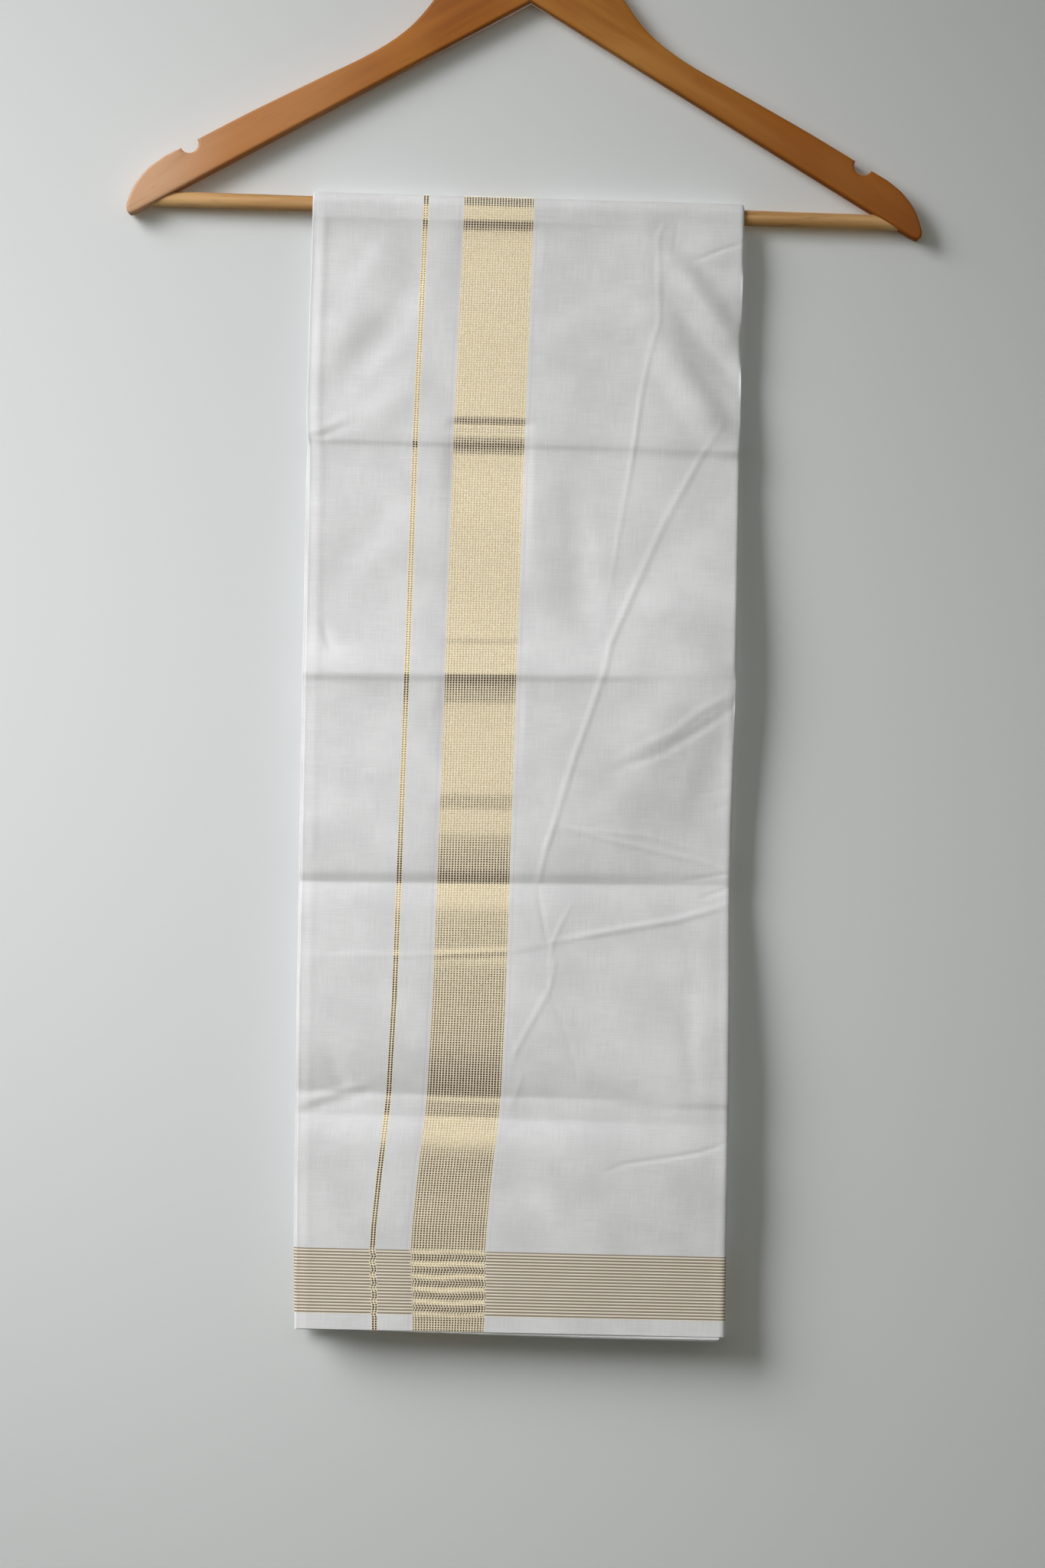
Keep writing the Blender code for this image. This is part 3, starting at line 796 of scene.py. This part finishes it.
section = [
    # share across from the left edge to the right, offset from there, depth in from the face
    (0.0, 0.0110, 2 * FOLD_RADIUS),
    (0.0, 0.0050, 2 * FOLD_RADIUS),
]
for index in range(TURN_POINTS):
    angle = math.pi * (1 - index / TURN_POINTS)
    section.append((0.0, FOLD_RADIUS * (1 - math.sin(angle)), FOLD_RADIUS * (1 - math.cos(angle))))
face_first = len(section)
face_last = face_first + LEFT_COLUMNS + RIGHT_COLUMNS
for index in range(EDGE_COLUMNS):
    share = index / EDGE_COLUMNS
    section.append((EDGE_SHARE * share, FOLD_RADIUS * (1 - share), 0.0))
for index in range(LEFT_COLUMNS - EDGE_COLUMNS):
    share = index / (LEFT_COLUMNS - EDGE_COLUMNS)
    section.append((EDGE_SHARE + (0.5 - EDGE_SHARE) * share, 0.0, 0.0))
for index in range(RIGHT_COLUMNS + 1):
    share = index / RIGHT_COLUMNS
    section.append((0.5 + 0.5 * share, -SPINE * share, 0.0))
for index in range(1, SPINE_POINTS + 1):
    angle = math.pi / 2 - math.pi * index / SPINE_POINTS
    section.append((1.0, SPINE * (math.cos(angle) - 1), SPINE * (1 - math.sin(angle))))
section += [(0.9, 0.0, STACK), (0.5, 0.0, STACK), (0.0, 0.004, STACK)]

strip_rows = [(-1, drop) for drop in spaced(ROW_SPACING, reverse=True)]
strip_rows += [(0, math.pi * index / BAR_ROWS) for index in range(1, BAR_ROWS)]
strip_rows += [(1, drop) for drop in spaced(BACK_ROWS)]

shares, offsets, depths = np.array(section).T
leaf_points = []
for part, value in strip_rows:
    drop = 0.0 if part == 0 else value
    outer_left, right_edge, inside_left = (read_table(SIDE_EDGES, drop, index) for index in (1, 2, 3))
    left_edge = outer_left + inside_left
    x = left_edge + (right_edge - left_edge) * shares + offsets
    y, z = strip_place((part, value), x, depths, outer_left, right_edge)
    if part != 0:
        relief = fold_relief(part, np.full(x.shape, drop), x, z, left_edge, right_edge)
        from_edge = np.minimum(x - left_edge, right_edge - x)
        sides = np.clip(from_edge / RELIEF_EASE + RELIEF_AT_EDGE, 0, 1)
        y = y + part * relief * (depths < SPINE) * rising(drop, 0, RELIEF_BY) * sides
    unrolled = np.concatenate(([0.0], np.cumsum(np.hypot(np.diff(x), np.diff(y)))))
    width = read_table(BAND_LINE, drop, 2)
    from_middle = x - read_table(BAND_LINE, drop, 1)
    u = np.where(np.abs(from_middle) < width / 2, from_middle * 2 * BAND_HALF / width,
                 from_middle + np.sign(from_middle) * (BAND_HALF - width / 2))
    if part < 0:
        above_hem = HEM_DROP - drop
        in_wide = (RIPPLE_BAND[0] - np.abs(u)) / RIPPLE_BAND[1]
        in_narrow = (RIPPLE_STRIPE[0] - np.abs(u - STRIPE_PLACE)) / RIPPLE_STRIPE[1]
        rippled = np.interp(above_hem, RIPPLE_SPAN, (0, 1, 1, 0))
        rippled = rippled * np.clip(np.maximum(in_wide, in_narrow), 0, 1)
        wave = 2 * math.pi * (above_hem - RIPPLE_START) / RIPPLE_PITCH
        sway = 0.4 * np.sin(u * 170 + above_hem * 90)
        y = y + rippled * RIPPLE_HEIGHT * np.sin(wave + sway)
        shift = 0.0005 * np.sin(wave + 1.3 + 0.5 * sway) + 0.0002 * np.sin(wave * 1.9 + u * 90)
        u = u + rippled * shift
    u[:face_first] = u[face_first] - (x[:face_first] - x[face_first])
    u[face_last:] = u[face_last] + (unrolled[face_last:] - unrolled[face_last])
    past_bar_edge = {-1: -drop, 0: value * WRAP_MEASURE, 1: OVER_BAR + drop}[part]
    leaf_points.append((x, y, z, u, np.full(x.shape, HEM_DROP + past_bar_edge)))

outer_leaf = add_piece("dhoti_outer_cloth", cloth_mesh("dhoti_outer_cloth", leaf_points), cotton,
                       "dhoti_cotton", "dhoti_outer_leaf")


# Inner leaves of the dhoti
# The hidden layers are the rest of the same cotton. Each is folded at the left, a little inside
# or past the one before, and hangs lower than the outer leaf, so that the hem shows its layers.
LEAVES = (
    # name, depth of its face in the stack, left edge inwards, right edge inwards, hem lower (mm)
    ("dhoti_second_leaf", 0.60, 0.5, 3.4, 1.8),
    ("dhoti_third_leaf", 1.25, 0.0, 4.2, 2.4),
    ("dhoti_fourth_leaf", 1.90, 0.7, 7.0, 2.9),
    ("dhoti_fifth_leaf", 2.55, 0.3, 5.0, 3.1),
)
INNER_RADIUS = 0.00024
TURNED_IN = 0.010
PLAIN_MEASURE = 0.3
SLACK = 0.0019
SLACK_FROM = 0.001
SLACK_EASE = 0.006
SLACK_BY = 0.03
SLACK_AT_HEM = 0.3
HEM_EASE = 0.02
PUSHED_IN = 0.0029
PUSHED_FROM = 0.045
PUSHED_EASE = 0.03
PUSHED_DROPS = (0.003, 0.013, 0.128, 0.15)
HEM_SAG = 0.65
SAG_FROM = -0.10
SAG_EASE = 0.15
HEM_SPREAD = 0.0009
INNER_COLUMNS = (0.08, 0.25, 0.5, 0.75, 0.9, 1.0)
INNER_BAR_ROWS = 10


def knot_drops(table, hem):
    """The drops of a tilt table that lie on the fall, and the leaf's own hem."""
    return sorted({row[0] / 1000 for row in table if row[0] / 1000 < HEM_DROP} | {hem})


for name, depth, left_in, right_in, lower in LEAVES:
    face_depth = depth / 1000
    section = [(0.0, TURNED_IN, face_depth + 2 * INNER_RADIUS)]
    for index in range(TURN_POINTS):
        angle = math.pi * index / (TURN_POINTS - 1)
        section.append((0.0, INNER_RADIUS * (1 - math.sin(angle)),
                        face_depth + INNER_RADIUS * (1 + math.cos(angle))))
    section += [(share, 0.0, face_depth) for share in INNER_COLUMNS]
    shares, offsets, depths = np.array(section).T
    front_hem = HEM_DROP + lower / 4000
    back_hem = front_hem + BACK_HEM_LONGER
    strip_rows = [(-1, drop) for drop in knot_drops(FRONT_TILT, front_hem)[::-1]]
    strip_rows += [(0, math.pi * index / INNER_BAR_ROWS) for index in range(1, INNER_BAR_ROWS)]
    strip_rows += [(1, drop) for drop in knot_drops(BACK_TILT, back_hem)]
    leaf_points = []
    for part, value in strip_rows:
        drop = 0.0 if part == 0 else value
        outer_left, right_edge = (read_table(SIDE_EDGES, drop, index) for index in (1, 2))
        left_edge = outer_left + left_in / 1000
        x = left_edge + (right_edge - right_in / 1000 - left_edge) * shares + offsets
        y, z = strip_place((part, value), x, depths, outer_left, right_edge)
        above_hem = (front_hem if part < 0 else back_hem) - drop
        inward = rising(x - left_edge, SLACK_FROM, SLACK_EASE) * rising(drop, 0, SLACK_BY)
        inward = inward * (SLACK_AT_HEM + (1 - SLACK_AT_HEM) * rising(above_hem, 0, HEM_EASE))
        room = SLACK * inward
        if part < 0:
            pushed = rising(x, PUSHED_FROM, PUSHED_EASE) * np.interp(drop, PUSHED_DROPS, (0, 1, 1, 0))
            room = room + PUSHED_IN * pushed
        if part < 0 and drop == front_hem:
            z = z - HEM_SAG * lower / 1000 * rising(x, SAG_FROM, SAG_EASE)
            y = y - HEM_SPREAD * rising(x, RIGHT_FROM, RIGHT_EASE)
        y = y - part * room * (1 - face_depth / STACK)
        leaf_points.append((x, y, z, x + PLAIN_MEASURE, np.full(x.shape, HEM_DROP + part * drop)))
    leaf = add_piece(name, cloth_mesh(name, leaf_points), cotton, "dhoti_cotton", "dhoti_folded_layers")


# Arms of the hanger
# Two flat boards of pale hardwood, cut to shape, rounded at their edges and varnished brown. They
# meet at the neck, and the bar is glued into their ends.
def smooth_copy(node, name, angle):
    """A welded copy of a CAD node's mesh, with soft shading up to an angle."""
    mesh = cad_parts[node].data.copy()
    mesh.name = name
    mesh.materials.clear()
    bm = bmesh.new()
    bm.from_mesh(mesh)
    bmesh.ops.remove_doubles(bm, verts=bm.verts, dist=1e-5)
    bmesh.ops.dissolve_degenerate(bm, dist=1e-6, edges=bm.edges)
    for face in bm.faces:
        face.smooth = True
    for edge_line in bm.edges:
        edge_line.smooth = edge_line.calc_face_angle(0.0) < angle
    bm.to_mesh(mesh)
    bm.free()
    return mesh


# Wood grain: long streaks along the board and fine pores
grain, given, out = new_group("wood_grain", {"Vector": "Vector"},
                              {"Streaks": "Float", "Pores": "Float", "Patches": "Float"})
for label, scale, detail in (("Streaks", (9, 120, 190), 5.0), ("Pores", (60, 900, 1500), 3.0),
                             ("Patches", (14, 14, 22), 2.0)):
    grain.links.new(stretched_noise(grain, given.outputs["Vector"], scale, detail), out.inputs[label])


def wood_material(name, turn, pale, mid, dark, roughness, streak_depth, tints_along_x=()):
    """Wood with its grain along local x after a turn about y, and tints that come on along x, painting
    lighter or darker stretches of a board.
    """
    material, wood, surface = new_material(name)
    where = add_node(wood, "TexCoord").outputs["Object"]
    turned = add_node(wood, "Mapping", {"Vector": where, "Rotation": (0, turn, 0)}).outputs[0]
    made = add_node(wood, "Group", {"Vector": turned}, node_tree=grain)
    colour = mixed(wood, ramp(wood, made.outputs["Streaks"], 0.33, 0.67), (*dark, 1), (*mid, 1))
    colour = mixed(wood, ramp(wood, made.outputs["Patches"], 0.45, 0.75), colour, (*pale, 1))
    # Tints along x; on the left arm they paint a highlight.
    for start, end, share, tint_colour in tints_along_x:
        along_hanger = add_node(wood, "SeparateXYZ", {0: where}).outputs["X"]
        span = (end, start, share, 0.0) if end < start else (start, end, 0.0, share)
        colour = mixed(wood, ramp(wood, along_hanger, *span), colour, (*tint_colour, 1))
    pores = ramp(wood, made.outputs["Pores"], 0.62, 0.72, 1.0, 1.0 - streak_depth)
    pored = mixed(wood, 1.0, colour, pores, blend_type="MULTIPLY")
    wood.links.new(pored, surface.inputs["Base Color"])
    surface.inputs["Roughness"].default_value = roughness
    bump = add_node(wood, "Bump", {"Height": made.outputs["Pores"], "Distance": 0.0001, "Strength": 0.3})
    wood.links.new(bump.outputs["Normal"], surface.inputs["Normal"])
    return material, surface


ARM_SHADING = math.radians(40)
ARM_ROUGHNESS = 0.45
ARM_PORES = 0.22
ARM_WOOD = (
    # node, grain turn, pale, mid and dark streaks, then tints along x: from, to, share, colour
    # The left arm's tints, paler towards its tip, are a painted highlight of the window lamp's sheen on
    # it; the right arm's darken towards its tip.
    ("hanger_arm_left", 31, (0.43, 0.155, 0.022), (0.37, 0.118, 0.010), (0.30, 0.086, 0.006),
     ((-0.065, -0.130, 0.85, (0.48, 0.205, 0.065)), (-0.160, -0.215, 0.80, (0.58, 0.35, 0.21)))),
    ("hanger_arm_right", -31, (0.48, 0.21, 0.040), (0.42, 0.160, 0.022), (0.35, 0.120, 0.012),
     ((0.095, 0.165, 0.80, (0.33, 0.092, 0.004)), (0.185, 0.230, 0.70, (0.27, 0.068, 0.003)))),
)
for node, turn, pale, mid, dark, tints_along_x in ARM_WOOD:
    varnished, surface = wood_material(node + "_varnish", math.radians(turn), pale, mid, dark,
                                       ARM_ROUGHNESS, ARM_PORES, tints_along_x)
    surface.inputs["Specular IOR Level"].default_value = 0.2
    surface.inputs["Coat Weight"].default_value = 0.10
    surface.inputs["Coat Roughness"].default_value = 0.12
    board = smooth_copy(node, node + "_board", ARM_SHADING)
    add_piece(board.name, board, varnished, "arm_wood", node)


# Bar of the hanger
# A turned rod of bare softwood, glued into the two arms. It has no varnish, so its grain shows.
BAR_SHADING = math.radians(40)
BAR_ROUGHNESS = 0.6
BAR_PORES = 0.45
bare, surface = wood_material("bar_bare_wood", 0.0, (0.76, 0.51, 0.25), (0.65, 0.39, 0.165),
                              (0.46, 0.24, 0.08), BAR_ROUGHNESS, BAR_PORES)
rod = smooth_copy("hanger_bar", "hanger_bar_rod", BAR_SHADING)
add_piece(rod.name, rod, bare, "bar_wood", "hanger_bar")


# Hook of the hanger
# Drawn steel wire, bright plated, bent round and screwed into the neck.
HOOK_SHADING = math.radians(50)
plated, tree, shader = new_material("hook_plated_wire")
where = add_node(tree, "TexCoord").outputs["Object"]
drawn = stretched_noise(tree, where, (260, 260, 260), 4.0)
tree.links.new(ramp(tree, drawn, 0.3, 0.7, 0.20, 0.34), shader.inputs["Roughness"])
shader.inputs["Base Color"].default_value = (0.60, 0.60, 0.58, 1)
shader.inputs["Metallic"].default_value = 1.0
drawn_bump = add_node(tree, "Bump", {"Height": drawn, "Distance": 0.00003, "Strength": 0.3})
tree.links.new(drawn_bump.outputs["Normal"], shader.inputs["Normal"])
wire = smooth_copy("hanger_hook", "hanger_hook_wire", HOOK_SHADING)
add_piece(wire.name, wire, plated, "hook_wire", "hanger_hook")


# Backdrop and floor
# A plain pale wall just behind the hanger and a plain pale floor, not part of the object.
def stage_plane(name, size, place, turn, colour):
    """One flat plain sheet of the studio, seen from its front only."""
    mesh = bpy.data.meshes.new(name)
    bm = bmesh.new()
    bmesh.ops.create_grid(bm, x_segments=1, y_segments=1, size=size)
    bm.to_mesh(mesh)
    bm.free()
    plane = bpy.data.objects.new(name, mesh)
    bpy.context.scene.collection.objects.link(plane)
    plane.location = place
    plane.rotation_euler.x = turn
    material, nodes, paint = new_material(name)
    paint.inputs["Base Color"].default_value = (*colour, 1)
    paint.inputs["Roughness"].default_value = 0.9
    paint.inputs["Specular IOR Level"].default_value = 0.1
    clear = add_node(nodes, "BsdfTransparent").outputs[0]
    behind = add_node(nodes, "NewGeometry").outputs["Backfacing"]
    shown = add_node(nodes, "MixShader", {0: behind, 1: paint.outputs[0], 2: clear}).outputs[0]
    nodes.links.new(shown, nodes.nodes["Material Output"].inputs["Surface"])
    mesh.materials.append(material)
    return plane


WALL_SIZE = 2.6
WALL_PLACE = (0, -0.0016, 0.6)
WALL_LEAN = 0.0115
FLOOR_SIZE = 14.0
FLOOR_PLACE = (0, -1.0, -1.55)

wall = stage_plane("studio_wall", WALL_SIZE, WALL_PLACE, math.pi / 2 + WALL_LEAN,
                   (0.684, 0.705, 0.710))
wall.visible_glossy = False
wall.visible_shadow = False
wall.visible_transmission = False
floor = stage_plane("studio_floor", FLOOR_SIZE, FLOOR_PLACE, 0.0, (0.62, 0.62, 0.60))
floor.visible_glossy = False
floor.visible_diffuse = False
floor_paint = floor.data.materials[0].node_tree.nodes["Principled BSDF"]
floor_paint.inputs["Emission Color"].default_value = (0.40, 0.40, 0.39, 1)
floor_paint.inputs["Emission Strength"].default_value = 1.0


# Light
# One soft window-like lamp from the upper left in front, a broad dimmer panel in front, and a
# plain warm surround, as in a room. A panel behind the wall lights the back for other views.
LAMPS = (
    # name, place, the point that it faces, width, height, watts, colour, spread in degrees
    ("window_lamp", (-1.14, -0.79, 0.10), (-0.405, 0, -0.503), 1.15, 1.15, 5.9,
     (0.985, 0.980, 0.995), 62),
    ("front_panel", (0.0, -2.7, 0.15), (0, 0, -0.1), 3.0, 1.45, 13.0, (0.965, 0.975, 0.94), 180),
    ("back_panel", (0.6, 2.4, 0.62), (0, 0, -0.45), 2.0, 1.5, 30.0, (1.0, 0.99, 0.97), 180),
)
for name, place, target, width, height, watts, colour, spread in LAMPS:
    lamp = bpy.data.lights.new(name, "AREA")
    lamp.shape = "RECTANGLE"
    lamp.size = width
    lamp.size_y = height
    lamp.energy = watts
    lamp.color = colour
    lamp.spread = math.radians(spread)
    holder = bpy.data.objects.new(name, lamp)
    bpy.context.scene.collection.objects.link(holder)
    holder.location = place
    holder.rotation_euler = (Vector(target) - Vector(place)).to_track_quat("-Z", "Y").to_euler()
    holder.visible_camera = False

world = bpy.data.worlds.new("studio_air")
bpy.context.scene.world = world
world.use_nodes = True
air = world.node_tree
backdrop = air.nodes["Background"]
rays = add_node(air, "LightPath")
ray = add_node(air, "SeparateXYZ", {0: add_node(air, "TexCoord").outputs["Generated"]})
upward = ramp(air, ray.outputs["Z"], -0.25, 0.15)
lighting = mixed(air, upward, (0.088, 0.083, 0.056, 1), (0.083, 0.084, 0.068, 1))
mirrored = mixed(air, upward, (0.070, 0.043, 0.023, 1), (0.088, 0.084, 0.072, 1))
room = mixed(air, rays.outputs["Is Glossy Ray"], lighting, mirrored)
sky = mixed(air, rays.outputs["Is Camera Ray"], room, (0.60, 0.61, 0.61, 1))
air.links.new(sky, backdrop.inputs["Color"])


# Camera
# In front at the height of the cloth's middle, rolled by a degree as the photo is.
LENS = 90.6
CAMERA_PLACE = (0.0011, -2.2075, -0.5356)
CAMERA_ROLL = math.radians(-1.0)

view = bpy.data.cameras.new("camera")
view.sensor_fit = "VERTICAL"
view.sensor_height = 36.0
view.lens = LENS
view.clip_start = 0.05
camera = bpy.data.objects.new("camera", view)
bpy.context.scene.collection.objects.link(camera)
camera.location = CAMERA_PLACE
camera.rotation_euler = (math.pi / 2, CAMERA_ROLL, 0)
bpy.context.scene.camera = camera
bpy.context.scene.view_settings.view_transform = "Standard"
